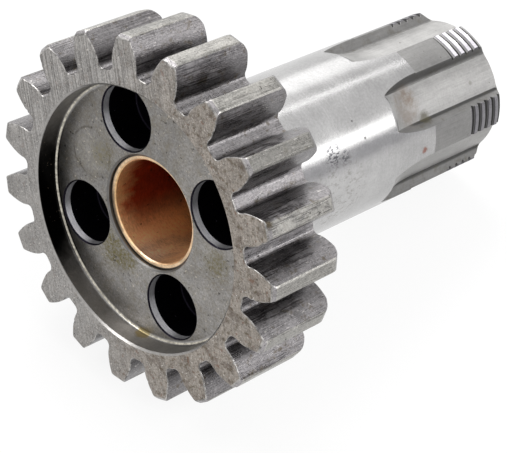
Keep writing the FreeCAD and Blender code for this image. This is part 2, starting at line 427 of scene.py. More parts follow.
hole_end = recess_depth + hole_depth
band_end = recess_depth + hole_edge + hole_band
hole_inner = hole_radius + hole_relief
hole_profile = [(radius, hole_end) for radius in np.linspace(0, hole_inner - hole_corner, 5)]
hole_profile += corner_arc(hole_inner, hole_end, hole_corner, 4)[1:]
hole_profile += [(hole_inner, height) for height in np.linspace(hole_end - hole_corner, band_end, 5)[1:]]
band_row = len(hole_profile)
hole_profile += [(hole_radius, height) for height in np.linspace(band_end, recess_depth + hole_edge, 3)]
hole_profile += [(hole_mouth, recess_depth)]


def turned_grid(profile, angle):
    """A profile of radius and height, carried round an axis."""
    profile = np.array(profile)
    return ring(profile[:, 0, None], angle[None, :], profile[:, 1, None])


hole_grid = turned_grid(hole_profile, spoke_angle) + np.array([hole_circle, 0.0, 0.0])


def turned_about_axis(points, degrees):
    """Turns points about the shaft axis."""
    c, s = math.cos(math.radians(degrees)), math.sin(math.radians(degrees))
    return points @ np.array([[c, s, 0], [-s, c, 0], [0, 0, 1]])


hole_parts = [(hole_grid[:band_row + 1], "hole"), (hole_grid[band_row:band_row + 3], "band"),
              (hole_grid[band_row + 2:], "hole"), (floor_grid, "recess")]
for index in range(hole_count):
    turn = hole_turn + index * 360.0 / hole_count
    for rows, finish in hole_parts:
        add_sheet(turned_about_axis(rows, turn), finish)
print("hole", hole_grid.shape)

# %% [markdown]
# The recess wall is a turned profile too, with a rounded corner at its foot and a broken edge at its
# mouth. Its points stand at the angles of the floor's outer arcs, so it meets the floor without a gap.

# %% Recess wall
def all_round(steps):
    """The angles of the arcs of all quarters in turn, so that a wall meets the floor's points."""
    arc = np.linspace(-quarter, quarter, steps + 1)[:-1]
    return hole_turn + (arc + 2 * quarter * np.arange(hole_count)[:, None]).ravel()


wall_profile = corner_arc(recess_radius, recess_depth, recess_corner, 6)
wall_profile += [(recess_radius, height)
                 for height in np.linspace(recess_depth - recess_corner, recess_edge, 4)[1:]]
wall_profile += [(recess_mouth, 0.0)]
wall_grid = turned_grid(wall_profile, all_round(outer_steps))
add_sheet(wall_grid, "wall")
add_zip(wall_grid[-1], front_ring[0], "face")
print("wall", wall_grid.shape)

# %% [markdown]
# The bore is a plain turned profile, carried round the axis on the angles of the floor's inner arcs. It
# is wider between the bushes, as it was bored before they were pressed in, and a small part of its wall
# shows as a dark line round the mouth of each bush.

# %% Bore
front_seat_end = front_bush_start + bush_length
bore_grid = turned_grid([
    (seat_radius + rear_bore_edge, shaft_length), (seat_radius, shaft_length - rear_bore_edge),
    (seat_radius, rear_bush_start), (seat_radius + bore_relief, rear_bush_start - bore_relief),
    (seat_radius + bore_relief, front_seat_end + bore_relief), (seat_radius, front_seat_end),
    (seat_radius, recess_depth + bore_edge), (bore_mouth, recess_depth)], all_round(inner_steps))
add_sheet(bore_grid, "bore")
print("bore", bore_grid.shape)

# %% [markdown]
# The splines are cut by a round cutter that travels along the shaft and lifts out at the end of its run,
# so each groove fades into the journal in a curve. Six Booleans would cut the same grooves, but with long
# thin faces that shade badly. So the groove's cross-section is drawn once, from the top of a flank over
# its fillet to the middle of the floor. Before the run-out's end each of its points moves out along the
# cutter's circle. At every station the land stops where this curve meets the outside of the shaft, which
# also carries the thread and the end chamfer.

# %% Outside of the shaft
lands = land_turn + 360.0 / splines * np.arange(splines)
print("turns of the lands", lands)
end_slope = (land_radius - spline_root) / (shaft_length - land_end)
relief_ramp = 0.1


def thread_cut(height, degrees):
    """Depth of the thread: a flat-bottomed V round the nearest groove line of a helix that climbs one
    pitch in a full turn, counted from the land that faces the camera."""
    line = height - thread_first - thread_pitch * (degrees - lands[4]) / 360.0
    off = np.abs((line / thread_pitch + 0.5) % 1.0 - 0.5) * thread_pitch
    slope = (thread_width - thread_floor) / 2
    cut = np.clip((thread_width / 2 - off) / slope, 0, 1) * thread_depth
    return np.where(height > thread_start, cut, 0.0)


def outside_radius(height, degrees):
    """Radius of the shaft's outside: shoulder fillet, journal, relieved lands, thread and chamfer."""
    near = np.clip(shoulder_fillet - (height - gear_width), 0, shoulder_fillet)
    fillet = shoulder_fillet - np.sqrt(shoulder_fillet ** 2 - near ** 2)
    relief = np.clip((height - relief_start) / relief_ramp, 0, 1) * (journal_radius - land_radius)
    plain = journal_radius + fillet - relief - thread_cut(height, degrees)
    chamfer = land_radius - (height - land_end) * end_slope
    return np.maximum(np.minimum(plain, chamfer), spline_root)


# %% [markdown]
# The cross-section is a line, an arc and an arc: the flank, its fillet and the floor. The fillet's middle
# lies on a line beside the flank, one fillet radius off it, where that line meets the circle that is as
# much larger than the root. The three are sampled finely once, and every station reads its points from this
# one curve by interpolation.

# %% Groove section
half_step = 180.0 / splines
land_half = land_width / 2
slope = math.radians(flank_slope)
flank_top = np.array([math.sqrt(journal_radius ** 2 - land_half ** 2), land_half])
out_along = np.array([math.cos(slope), -math.sin(slope)])
off_flank = np.array([math.sin(slope), math.cos(slope)])
start = flank_top + off_flank * spline_fillet
centre_ring = spline_root + spline_fillet
lean = start @ out_along
fillet_middle = start + out_along * (-lean + math.sqrt(lean ** 2 - start @ start + centre_ring ** 2))
flank_foot = fillet_middle - off_flank * spline_fillet
floor_start = fillet_middle * spline_root / centre_ring
turn_back = math.radians(-half_step)
to_groove = np.array([[math.cos(turn_back), math.sin(turn_back)],
                      [-math.sin(turn_back), math.cos(turn_back)]])
above_flank = flank_top + out_along
flank_steps, fillet_steps, floor_steps = 60, 30, 40
flank_line = above_flank + (flank_foot - above_flank) * np.linspace(0, 1, flank_steps + 1)[:, None]
fillet_line = fillet_arc(fillet_middle, flank_foot, floor_start, fillet_steps)
floor_line = ring(spline_root, np.linspace(polar(floor_start)[1], half_step, floor_steps + 1), 0)[:, :2]
# Turned so that the groove's middle lies on the x axis. Its two halves are alike, so one is enough.
section = np.concatenate([flank_line, fillet_line[1:], floor_line[1:]]) @ to_groove
section[:, 1] = np.abs(section[:, 1])
section_share = np.linspace(0, 1, len(section))
section_radius = polar(section)[0]
foot = flank_steps + fillet_steps
print("groove half width at its foot", section[foot, 1], "middle", section[-1])

# %% [markdown]
# Now the stations along the shaft, at each of which one ring of points is made. Evenly spaced ones would
# be simpler, but they would need to be fine everywhere. These lie close together where the outside changes
# quickly, at the run-out and the thread, and far apart on the plain journal.

# %% Stations
lifted = cutter_radius - journal_radius + spline_root
full_depth = runout_start + math.sqrt(cutter_radius ** 2 - lifted ** 2)
thread_step = 0.12
journal_end = runout_start - 0.2
fillet_stations = gear_width + shoulder_fillet * (1 - np.cos(np.radians(np.linspace(0, 90, 7))))
stations = np.unique(np.round(np.concatenate([
    fillet_stations, np.linspace(gear_width + shoulder_fillet, journal_end - 0.1, 14),
    np.linspace(journal_end + 0.05, full_depth, 36), [relief_start, relief_start + relief_ramp],
    np.linspace(relief_start + 0.3, thread_start - 0.1, 7),
    np.arange(thread_start, land_end, thread_step), np.linspace(land_end, shaft_length, 6)]), 6))
print("stations", len(stations), "full depth at", full_depth)

# %% [markdown]
# Each ring has the same number of points, so the rings stack into one grid. A groove's points are given as
# shares of the section's length, more of them on the flank and the fillet, where the surface bends.

# %% Rings of the shaft
cutter_reach = spline_root + cutter_radius
clear_of_shoulder = 2.0
bevel_fade = 2.0
bevel_stop = 0.2
land_points = 12
land_side_turn = 10.6
squeezed_share = 0.15
top_share = np.interp(journal_radius, section_radius[:foot + 1][::-1], section_share[:foot + 1][::-1])
flank_share = section_share[flank_steps]
groove_share = np.concatenate([np.linspace(top_share, flank_share, 7),
                               np.linspace(flank_share, section_share[foot], 6)[1:],
                               np.linspace(section_share[foot], 1, 8)[1:]])


def groove_at(height):
    """Radius and angle of the section's points at one station. A point at distance d from the cutter's axis
    moves out to the cutter's reach less the root of d squared less the station's distance squared."""
    behind = max(0.0, min(full_depth - height, full_depth - runout_start + clear_of_shoulder))
    distance = cutter_reach - section[:, 0]
    lifted_out = cutter_reach - np.sqrt(distance ** 2 - behind ** 2)
    return polar(np.stack([lifted_out, section[:, 1]], axis=-1))


def shaft_row(height):
    """One ring round the shaft: for each land the groove before it, its top, and the groove after it.
    The groove begins where its curve comes down to the outside of the shaft, less the bevel, and the points
    above that are squeezed in just below it. The bevel makes the top of the land narrower too."""
    radius, angle = groove_at(height)
    bevel = land_edge * min(1.0, max(0.0, (height - runout_start) / bevel_fade))
    bevel *= height < shaft_length - bevel_stop
    falling = int(np.argmin(radius[:foot + 1])) + 1
    row = []
    for land in lands:
        halves = []
        for side in (-1, 1):
            limit = outside_radius(height, land + side * land_side_turn)
            begin = np.interp(limit - bevel, radius[:falling][::-1], section_share[:falling][::-1])
            still = min(1.0, max(flank_share, begin + squeezed_share))
            moved = begin + (groove_share - top_share) * (still - begin) / (still - top_share)
            share = np.where(groove_share < still, moved, groove_share)
            turn = np.interp(share, section_share, angle)
            out = np.minimum(np.interp(share, section_share, radius), limit)
            halves.append((land + side * (half_step - turn), out))
        (left_turn, left_out), (right_turn, right_out) = halves
        trim = math.degrees(bevel / journal_radius)
        top_turn = np.linspace(left_turn[0] + trim, right_turn[0] - trim, land_points + 1)
        top_out = outside_radius(height, top_turn)
        row.append(ring(np.concatenate([left_out[::-1], top_out, right_out[:-1]]),
                        np.concatenate([left_turn[::-1], top_turn, right_turn[:-1]]), height))
    return np.concatenate(row)


shaft_grid = np.stack([shaft_row(height) for height in stations])
add_zip(back_ring[0], shaft_grid[0], "back")
journal_row = int(np.searchsorted(stations, journal_end))
add_sheet(shaft_grid[:journal_row + 1], "journal")
add_sheet(shaft_grid[journal_row:], "spline")
add_zip(shaft_grid[-1], bore_grid[0], "end")
print("shaft grid", shaft_grid.shape)

# %% [markdown]
# All sheets go into one mesh. They could stay as pieces that only touch, but one closed skin shades evenly
# and has an inside. Points that two sheets share are merged, and a count of open edges shows whether the
# skin is closed. Edges that turn sharply are marked so that the light breaks there.

# %% One closed skin
merge_distance = 0.001 * mm
finishes = ["face", "edge", "teeth", "back", "recess", "wall", "hole", "band", "bore", "journal",
            "spline", "end"]


def new_object(name, data):
    """An object in the scene with the given data."""
    made = bpy.data.objects.new(name, data)
    bpy.context.scene.collection.objects.link(made)
    return made


def make_object(name, blocks, finish_names, sharp_degrees=28):
    """Joins blocks of points and faces, merges shared points and shades smooth between sharp edges."""
    starts = np.cumsum([0] + [len(points) for points, _, _ in blocks])
    points = to_row(np.concatenate([points for points, _, _ in blocks]))
    faces = [face for (_, block, _), first in zip(blocks, starts) for face in (block + first).tolist()]
    slots = np.repeat([finish_names.index(finish) for _, _, finish in blocks],
                      [len(block) for _, block, _ in blocks])
    mesh = bpy.data.meshes.new(name)
    mesh.from_pydata(points.tolist(), [], faces)
    mesh.polygons.foreach_set("material_index", slots)
    work = bmesh.new()
    work.from_mesh(mesh)
    bmesh.ops.remove_doubles(work, verts=work.verts, dist=merge_distance)
    open_edges = sum(1 for edge in work.edges if not edge.is_manifold)
    work.to_mesh(mesh)
    triangles = len(work.calc_loop_triangles())
    work.free()
    mesh.shade_smooth()
    mesh.set_sharp_from_angle(angle=math.radians(sharp_degrees))
    print(name, "triangles", triangles, "open edges", open_edges)
    return new_object(name, mesh)


steel = make_object("sleeve_gear", sheets, finishes)

# %% [markdown]
# Each bush is a closed turned ring. Its ends are broken by a small chamfer, and the bore is reamed. A
# screw modifier could turn the same profile, but the grid of the bore does it with nothing new.

# %% Bushes
bush_columns = 112
bush_rim = 0.12
wall_gap = 0.002
mouth_length = 1.0


def bush_blocks(low):
    """A closed ring: both rows and columns of the grid close on themselves."""
    high = low + bush_length
    inner = bush_radius
    outer = seat_radius - wall_gap
    profile = [(inner, low + bush_edge), (inner, low + bush_edge + mouth_length),
               (inner, low + bush_length / 2), (inner, high - bush_edge - mouth_length),
               (inner, high - bush_edge), (inner + bush_edge, high), (outer - bush_rim, high),
               (outer, high - bush_rim), (outer, low + bush_rim), (outer - bush_rim, low),
               (inner + bush_edge, low)]
    turns = np.linspace(0, 360, bush_columns + 1)[:-1]
    return [grid_block(turned_grid((profile + profile[:1])[::-1], turns), "bronze")]


front_bush = make_object("front_bronze", bush_blocks(front_bush_start), ["bronze"])
rear_bush = make_object("rear_bronze", bush_blocks(rear_bush_start), ["bronze"])

# %% [markdown]
# Every finish on this part is steel or bronze that a tool has marked and use has stained. So each one is
# a sum: an even tone, times some noise for mottling, times fine lines along the tool's path, plus stains.
# All of it is worked out from where a point lies on the shaft, in millimetres, so lines can run round
# the shaft, along it, or straight over a face. The nodes could be laid out by hand, but such a web is hard
# to read. Here what a node gives is a value, and values are added and multiplied like numbers.

# %% Nodes as values
class Value:
    """What a node gives: a number, a place or a colour. Sums and products of numbers add more nodes."""

    def __init__(self, nodes, socket):
        self.nodes = nodes
        self.socket = socket

    def __add__(self, other):
        return self.nodes.maths("ADD", self, other)

    def __sub__(self, other):
        return self.nodes.maths("SUBTRACT", self, other)

    def __rsub__(self, other):
        return self.nodes.maths("SUBTRACT", other, self)

    def __mul__(self, other):
        return self.nodes.maths("MULTIPLY", self, other)

    def __truediv__(self, other):
        return self.nodes.maths("DIVIDE", self, other)

    def __abs__(self):
        return self.nodes.maths("ABSOLUTE", self)

    def __or__(self, other):
        """The larger of two numbers, which lays one pattern over another."""
        return self.nodes.maths("MAXIMUM", self, other)


class Nodes:
    """The node tree of a material or a world. Each method adds nodes and gives back a value."""

    def __init__(self, owner):
        owner.use_nodes = True
        self.tree = owner.node_tree

    def put(self, value, socket):
        """Links a value to a socket, or sets the socket. A colour is given without its alpha."""
        if isinstance(value, Value):
            self.tree.links.new(value.socket, socket)
        elif socket.type == "RGBA":
            socket.default_value = (*value, 1.0)
        else:
            socket.default_value = value

    def add(self, kind, inputs, output=0, **settings):
        """A new node with its settings and inputs. It gives back the value of one output."""
        node = self.tree.nodes.new(kind)
        for name, value in settings.items():
            setattr(node, name, value)
        for name, value in inputs.items():
            self.put(value, node.inputs[name])
        return Value(self, node.outputs[output])

    def maths(self, operation, first, second=0.0):
        """A sum of two numbers, or a function of the first."""
        return self.add("ShaderNodeMath", {0: first, 1: second}, operation=operation)

    def vector(self, operation, *vectors, output=0):
        """A sum of vectors. Output 1 holds what comes out as a number, such as a distance."""
        return self.add("ShaderNodeVectorMath", dict(enumerate(vectors)), output, operation=operation)

    def sees_background(self):
        """1 for camera, glossy and transmission rays, as the largest of the three, and 0 for others."""
        rays = self.tree.nodes.new("ShaderNodeLightPath").outputs
        camera, glossy, clear = (Value(self, rays["Is %s Ray" % kind])
                                 for kind in ("Camera", "Glossy", "Transmission"))
        return camera | glossy | clear


# %% [markdown]
# A finish adds what all the metals need: the point's place on the shaft, and patterns such as noise,
# flecks and round stains. Places on the part are given as radius, turn and height, as on the real shaft.
# A noise is given by its waves per millimetre, its detail, its roughness and a seed, and a stain by its
# place, its size, the width of its soft edge and how ragged that edge is.

# %% A finish and its patterns
shaft_turn = Matrix(shaft_axes.T.tolist()).to_euler()
degrees_per_radian = math.degrees(1.0)
fleck_edge = 0.04


class Finish(Nodes):
    """One metal, with a point's place on the shaft in mm, its radius and its height as values."""

    def __init__(self, name):
        self.material = bpy.data.materials.new(name)
        super().__init__(self.material)
        self.shader = self.tree.nodes["Principled BSDF"]
        self.shader.inputs["Metallic"].default_value = 1.0
        coordinates = self.tree.nodes.new("ShaderNodeTexCoord").outputs
        self.object_place = Value(self, coordinates["Object"])
        self.normal = Value(self, coordinates["Normal"])
        self.place = self.add("ShaderNodeMapping", {
            "Vector": self.object_place, "Location": tuple(front_centre),
            "Rotation": tuple(shaft_turn), "Scale": (mm, mm, mm)}, vector_type="TEXTURE")
        parts = self.tree.nodes.new("ShaderNodeSeparateXYZ")
        self.put(self.place, parts.inputs[0])
        x, y, self.height = (Value(self, part) for part in parts.outputs)
        self.radius = self.maths("SQRT", x * x + y * y)

    def along(self, direction):
        """How far a point lies along a direction, in mm."""
        return self.vector("DOT_PRODUCT", self.place, direction, output=1)

    def away(self, radius, degrees, height):
        """Distance in mm from the place on the part with this radius, turn and height."""
        centre = tuple(float(value) for value in ring(radius, degrees, height))
        return self.vector("DISTANCE", self.place, centre, output=1)

    def turned_from(self, degrees):
        """How many degrees round the shaft a point lies from a given turn, either way."""
        angle = math.radians(degrees)
        ahead = self.along((math.cos(angle), math.sin(angle), 0.0))
        return self.maths("ARCCOSINE", ahead / self.radius) * degrees_per_radian

    def noise(self, per_mm, detail=2.0, rough=0.5, seed=0.0, place=None):
        """Noise round 0.5. A pattern is stretched along an axis by fewer waves per millimetre there."""
        waves = (per_mm, per_mm, per_mm) if isinstance(per_mm, float) else per_mm
        spot = self.vector("MULTIPLY_ADD", place or self.place, waves, (seed, 0.0, seed))
        return self.add("ShaderNodeTexNoise", {"Vector": spot, "Scale": 1.0, "Detail": detail,
                                               "Roughness": rough})

    def step(self, value, low, high, first=0.0, last=1.0):
        """A smooth step from the first value to the last, between the low and the high one."""
        return self.add("ShaderNodeMapRange", {"Value": value, "From Min": low, "From Max": high,
                                               "To Min": first, "To Max": last},
                        interpolation_type="SMOOTHSTEP")

    def fall(self, value, low, high, first=1.0):
        """A smooth step down to 0."""
        return self.step(value, low, high, first, 0.0)

    def sector(self, degrees, near, far, first=1.0, last=0.0):
        """The first value up to a near angle from a turn of the shaft, and the last beyond a far one."""
        return self.step(self.turned_from(degrees), near, far, first, last)

    def strong(self, pattern, spread=0.15):
        """The same pattern with its lows at 0 and its highs at 1."""
        return self.step(pattern, 0.5 - spread, 0.5 + spread)

    def flecks(self, per_mm, level, seed, detail=2.0):
        """1 in the few places where a noise passes a level, so it makes specks or pits."""
        return self.step(self.noise(per_mm, detail, 0.6, seed), level, level + fleck_edge)

    def spot(self, place, size, soft, ragged=0.0, seed=0.0, strength=1.0):
        """A stain within a size in mm of a radius, turn and height. Noise with waves of about its own size
        makes its edge ragged."""
        away = self.away(*place)
        if ragged:
            away = away + (self.noise(1.2 / size, 4.0, 0.65, seed) - 0.5) * ragged
        return self.fall(away, size, size + soft, strength)

    def vary(self, tone, *noises):
        """The tone times one plus each noise's swing. Each noise comes with its strength."""
        for noise, strength in noises:
            swing = self.add("ShaderNodeMath", {0: noise, 1: 2 * strength, 2: 1 - strength},
                             operation="MULTIPLY_ADD")
            tone = swing * tone
        return tone

    def tint(self, tone, colour):
        """A colour times a tone."""
        return self.add("ShaderNodeVectorMath", {0: colour, "Scale": tone}, operation="SCALE")

    def mix(self, share, first, second):
        """From the first colour to the second by a share."""
        return self.add("ShaderNodeMix", {0: share, 6: first, 7: second}, output=2, data_type="RGBA")

    def blend(self, share, first, second):
        """From the first value to the second by a share."""
        return self.add("ShaderNodeMix", {0: share, 2: first, 3: second})

    def stained(self, colour, *stains):
        """The colour with stains laid on in turn. Each is a pattern, its strength and its own colour."""
        for pattern, strength, stain in stains:
            colour = self.mix(pattern * strength, colour, stain)
        return colour

    def result(self, colour, roughness, relief=None, relief_depth=0.02):
        """Sets the colour and roughness, and lets a pattern stand out by its depth in mm."""
        self.put(colour, self.shader.inputs["Base Color"])
        self.put(roughness, self.shader.inputs["Roughness"])
        if relief is not None:
            bump = self.add("ShaderNodeBump", {"Height": relief, "Distance": relief_depth * mm})
            self.put(bump, self.shader.inputs["Normal"])
        return self.material


clean_steel = (1.0, 0.965, 0.93)
flank_steel = (1.0, 0.955, 0.97)
crest_steel = (1.0, 0.97, 0.91)
brown_steel = (1.0, 0.9, 0.8)
oil_brown = (0.085, 0.065, 0.035)
oil_green = (0.13, 0.11, 0.045)
rust_brown = (0.16, 0.085, 0.055)
pit_black = (0.03, 0.026, 0.022)

# %% [markdown]
# The gear's front face was ground straight across, so its lines run one way over the whole face. A picture
# of scratches could be laid on it, but noise stretched along one direction gives such lines at any size.
# Oil and rust have settled in the marks as small dark and brown dots, most of them on one side. The rounded
# edges of the tooth ends are worn bright, so they are a finish of their own.

# %% Faces of the gear
grinding_direction = 62.0
dirty_turn = -8.0
lined_turn = -100.0


def straight_lines(made, direction, along_per_mm, across_per_mm):
    """Noise that is stretched along a direction in the plane of the gear's face."""
    angle = math.radians(direction)
    place = made.add("ShaderNodeCombineXYZ", {0: made.along((math.cos(angle), math.sin(angle), 0.0)),
                                              1: made.along((-math.sin(angle), math.cos(angle), 0.0)),
                                              2: made.height})
    return made.noise((along_per_mm, across_per_mm, 0.5), 2.0, 0.6, 0.0, place)


def ground_face():
    """Straight lines that are faint on the dirty side, and grime that is thick there."""
    made = Finish("gear_face")
    lines = made.strong(straight_lines(made, grinding_direction, 0.1, 3.0))
    patches = made.strong(made.noise(0.3, 4.0, 0.65, 3.0))
    grain = made.strong(made.noise(2.8, 3.0, 0.75, 7.0), 0.2)
    dirty = made.sector(dirty_turn, 55.0, 115.0)
    faint = dirty * 0.6 | made.sector(lined_turn, 50.0, 110.0, 0.0, 0.6)
    lines = made.blend(faint, lines, 0.5)
    value = made.vary(0.3, (patches, 0.16), (grain, 0.34), (lines, 0.32))
    shadowy = made.step(made.noise(0.38, 5.0, 0.7, 27.0), 0.5, 0.66) * made.blend(dirty, 0.12, 0.65)
    grime = made.step(made.noise(0.9, 4.0, 0.7, 23.0), 0.5, 0.68) * made.blend(dirty, 0.2, 0.75)
    rust = made.flecks(1.3, 0.63, 31.0, 3.0) | made.flecks(0.45, 0.62, 35.0, 5.0)
    rust = rust * made.blend(dirty, 0.25, 0.85)
    pits = made.flecks(1.9, 0.645, 19.0, 3.0)
    colour = made.stained(
        made.mix(dirty, made.tint(value, clean_steel), made.tint(value, brown_steel)),
        (made.flecks(2.4, 0.645, 11.0), 1.0, (0.62, 0.59, 0.55)), (shadowy, 1.0, (0.1, 0.075, 0.06)),
        (grime, 1.0, oil_brown), (rust, 0.8, rust_brown), (pits, 0.8, pit_black))
    roughness = made.vary(0.42, (grain, 0.35), (patches, 0.25))
    return made.result(colour, roughness, grain * 0.6 + lines * 0.8 - pits, 0.03)


def worn_edge():
    """Bright steel in patches."""
    made = Finish("worn_edge")
    value = made.vary(0.3, (made.strong(made.noise(0.8, 3.0, 0.65, 5.0)), 0.55),
                      (made.noise(3.5, 2.0, 0.6, 9.0), 0.5))
    return made.result(made.tint(value, clean_steel), 0.34)


# %% [markdown]
# A hob cuts the teeth with strokes along them, so the lines there run along the shaft. The flanks are
# darker than the crests, because oil stays between the teeth while the crests rub clean. Which is which
# could be painted face by face, but the radius tells it. The narrow facet at the front of each tip is
# bright, and the rim of the crest behind it carries a painted highlight, the brightest tone on the teeth.

# %% Teeth
def hobbed_teeth():
    """Tones that follow the radius, from the root over the worn flank to the crest, and stains on top."""
    made = Finish("hobbed_teeth")
    lines = made.strong(made.noise((4.5, 4.5, 0.16), 3.0, 0.65, 2.0))
    patches = made.strong(made.noise(0.3, 4.0, 0.65, 13.0))
    grain = made.strong(made.noise(3.0, 3.0, 0.75, 17.0), 0.2)
    crest = made.step(made.radius, tip_radius - 0.3, tip_radius - 0.15)
    worn = made.step(made.radius, pitch_radius - 1.6, pitch_radius + 1.4)
    root = made.fall(made.radius, root_radius + 0.15, root_radius + 0.8)
    trimmed = made.radius + (front_chamfer - made.height)
    facet = (made.step(trimmed, tip_radius - 0.12, tip_radius - 0.04)
             * made.fall(made.height, front_chamfer - 0.02, front_chamfer + 0.02))
    # Painted highlight along the rim of the crest just behind the front facet.
    rim_highlight = crest * made.fall(made.height, front_chamfer + 0.12, front_chamfer + 0.3)
    value = made.blend(root, made.blend(worn, 0.12, 0.22), 0.26)
    value = made.blend(crest, value, 0.31)
    value = made.vary(value, (lines, 0.15), (patches, 0.13), (grain, 0.3))
    value = made.blend(rim_highlight * patches, value, 0.5)
    dull_crest = crest * made.sector(-52.0, 5.0, 8.0)
    value = made.blend(dull_crest, value, made.vary(0.21, (grain, 0.3)))
    facet_value = made.vary(0.33, (patches, 0.2), (grain, 0.2))
    stain = (made.spot((32.9, -35.0, 0.4), 0.35, 0.7, 1.6, 1.0)
             | made.spot((30.5, -40.3, 5.8), 0.6, 1.4, 2.0, 2.0, 0.6)
             | made.spot((31.0, -22.2, 11.0), 0.2, 0.3)
             | made.spot((31.0, -103.7, 2.6), 0.25, 0.3))
    grime = made.step(made.noise(0.6, 4.0, 0.7, 41.0), 0.55, 0.7) * made.blend(crest, 0.7, 0.3)
    pits = made.flecks(1.5, 0.65, 37.0, 3.0)
    colour = made.stained(
        made.tint(value, made.mix(crest, flank_steel, crest_steel)),
        (facet, 1.0, made.tint(facet_value, flank_steel)),
        (made.flecks((2.4, 2.4, 0.9), 0.665, 29.0), 0.7, (0.5, 0.48, 0.46)),
        (grime | stain * 0.85, 1.0, oil_brown), (pits, 0.8, pit_black))
    roughness = made.vary(0.33, (lines, 0.4), (patches, 0.3))
    return made.result(colour, roughness, lines + grain * 0.6 - pits, 0.01)


# %% [markdown]
# The recess was turned, and its floor is smoother than the face. Its floor has painted shade on the side
# round turn -150. It has an old ring-shaped stain, oil beside the bush, and dots of dirt. The recess wall
# is black on one side, and its corner and its mouth carry a painted highlight. Stains could be painted on
# an image, but a distance from a place, made ragged by noise, stays sharp however near one looks.

# %% Recess
def recess_floor():
    """Turned steel under a film of oil, with a ring where the distance from its middle is one radius."""
    made = Finish("recess_floor")
    mottle = made.strong(made.noise(1.6, 4.0, 0.75, 47.0))
    # Painted shade: the floor is darker on the side round turn -150.
    value = made.blend(made.sector(-150.0, 40.0, 100.0), 0.275, 0.215)
    value = made.vary(value, (made.strong(made.noise(0.2, 4.0, 0.65, 4.0)), 0.1),
                      (made.strong(made.noise(2.6, 3.0, 0.7, 8.0), 0.2), 0.24))
    stain_radius = 5.2
    away = made.away(15.9, -170.4, recess_depth) + made.noise(0.35, 3.0, 0.6, 43.0) * 1.2
    ring_line = made.fall(abs(away - stain_radius), 0.04, 0.3, 0.7)
    ring_line = ring_line * made.strong(made.noise(0.5, 3.0, 0.6, 49.0))
    ring_inside = made.fall(away, 3.6, stain_radius, 0.5) * mottle
    oil = (made.spot((13.6, 115.0, recess_depth), 2.0, 2.4, 4.5, 3.0)
           | made.spot((12.2, 100.0, recess_depth), 1.4, 1.8, 4.0, 4.0)
           | made.spot((13.6, -164.0, recess_depth), 1.0, 3.0, 5.0, 5.0, 0.6)
           | made.spot((16.5, -3.0, recess_depth), 1.2, 2.6, 5.0, 6.0, 0.8))
    film = made.strong(made.noise(0.45, 5.0, 0.7, 51.0)) * made.blend(mottle, 0.1, 0.6)
    colour = made.stained(
        made.tint(value, clean_steel), (film, 1.0, (0.17, 0.145, 0.1)),
        (ring_inside, 1.0, (0.34, 0.325, 0.29)), (ring_line, 1.0, (0.1, 0.09, 0.075)),
        (oil * made.blend(mottle, 0.2, 0.95), 1.0, oil_green),
        (made.flecks(1.1, 0.645, 53.0, 3.0), 0.75, pit_black),
        (made.flecks(1.7, 0.68, 59.0), 0.7, (0.55, 0.5, 0.42)))
    return made.result(colour, made.vary(0.36, (made.noise(0.4, 3.0, 0.6, 67.0), 0.3)))


def recess_wall():
    """Steel that is black on one side, with a painted highlight along its corner and its mouth, told by the
    height.
    """
    made = Finish("recess_wall")
    uneven = made.turned_from(154.0) + made.noise(0.5, 3.0, 0.6, 61.0) * 12.0
    value = made.vary(made.blend(made.fall(uneven, 24.0, 56.0), 0.27, 0.006),
                      (made.noise(0.5, 3.0, 0.6, 4.0), 0.4),
                      (made.noise((2.0, 2.0, 6.0), 2.0, 0.6, 8.0), 0.3))
    # Painted highlight: a thin bright line along the corner at the wall's foot, and another along the
    # mouth.
    corner = (made.step(made.height, recess_depth - 0.32, recess_depth - 0.24)
              * made.fall(made.height, recess_depth - 0.1, recess_depth - 0.04))
    mouth = made.fall(made.height, 0.6 * recess_edge, 0.9 * recess_edge)
    highlight_tone = made.vary(0.44, (made.strong(made.noise(1.2, 3.0, 0.6, 71.0)), 0.35))
    drop = made.spot((recess_radius - 0.3, 76.7, recess_depth - 0.4), 1.0, 0.8, 1.5, 7.0)
    colour = made.stained(
        made.tint(value, clean_steel), (corner, 1.0, made.tint(highlight_tone, (1.0, 0.94, 0.8))),
        (mouth, 1.0, made.tint(made.vary(0.34, (highlight_tone, 0.3)), clean_steel)),
        (drop, 0.8, (0.2, 0.15, 0.05)), (made.flecks(1.6, 0.68, 73.0), 0.6, (0.25, 0.2, 0.15)))
    return made.result(colour, 0.3)


# %% [markdown]
# In each hole a band below the mouth is bright, and the rest is black. The band carries a painted highlight
# on one side, so its tone follows the direction in which its surface faces, and all four holes share one
# finish.

# %% Holes and bore
def hole_steel():
    """Black, with a few paler specks."""
    made = Finish("hole_steel")
    inside = made.vary(0.016, (made.noise((3.0, 3.0, 0.6), 3.0, 0.7, 9.0), 0.8))
    colour = made.stained(made.tint(inside, (0.75, 0.65, 1.0)),
                          (made.flecks(1.6, 0.7, 15.0), 1.0, (0.12, 0.11, 0.14)))
    return made.result(colour, 0.45)


def band_painted_highlight():
    """Painted highlight: the tone follows the cosine between the surface's own direction and one side of
    the hole.
    """
    made = Finish("band_painted_highlight")
    made.shader.inputs["Metallic"].default_value = 0.1
    highlight_side = tuple(ring(1.0, -63.5, 0.0) @ shaft_axes)
    # Painted highlight: the band is brightest where it faces one side of the hole.
    facing = made.vector("DOT_PRODUCT", made.normal, highlight_side, output=1)
    value = made.vary(made.step(facing, 0.65, 0.98, 0.28, 1.0),
                      (made.strong(made.noise((1.5, 1.5, 4.0), 2.0, 0.6, 5.0)), 0.12))
    return made.result(made.tint(value, (0.97, 0.96, 1.0)), 0.3)


def bore_steel():
    """Dull bored steel, with lines round the bore."""
    made = Finish("bore_steel")
    value = made.vary(0.16, (made.noise((0.6, 0.6, 5.0), 3.0, 0.6, 3.0), 0.5))
    return made.result(made.tint(value, clean_steel), 0.4)


# %% [markdown]
# The journal was ground as it turned, so its lines run round the shaft. A bearing has kept it bright, and
# there are a few scuffs and one rusty spot. The ground look is a function of its own, because the tops of
# the splines have it too.

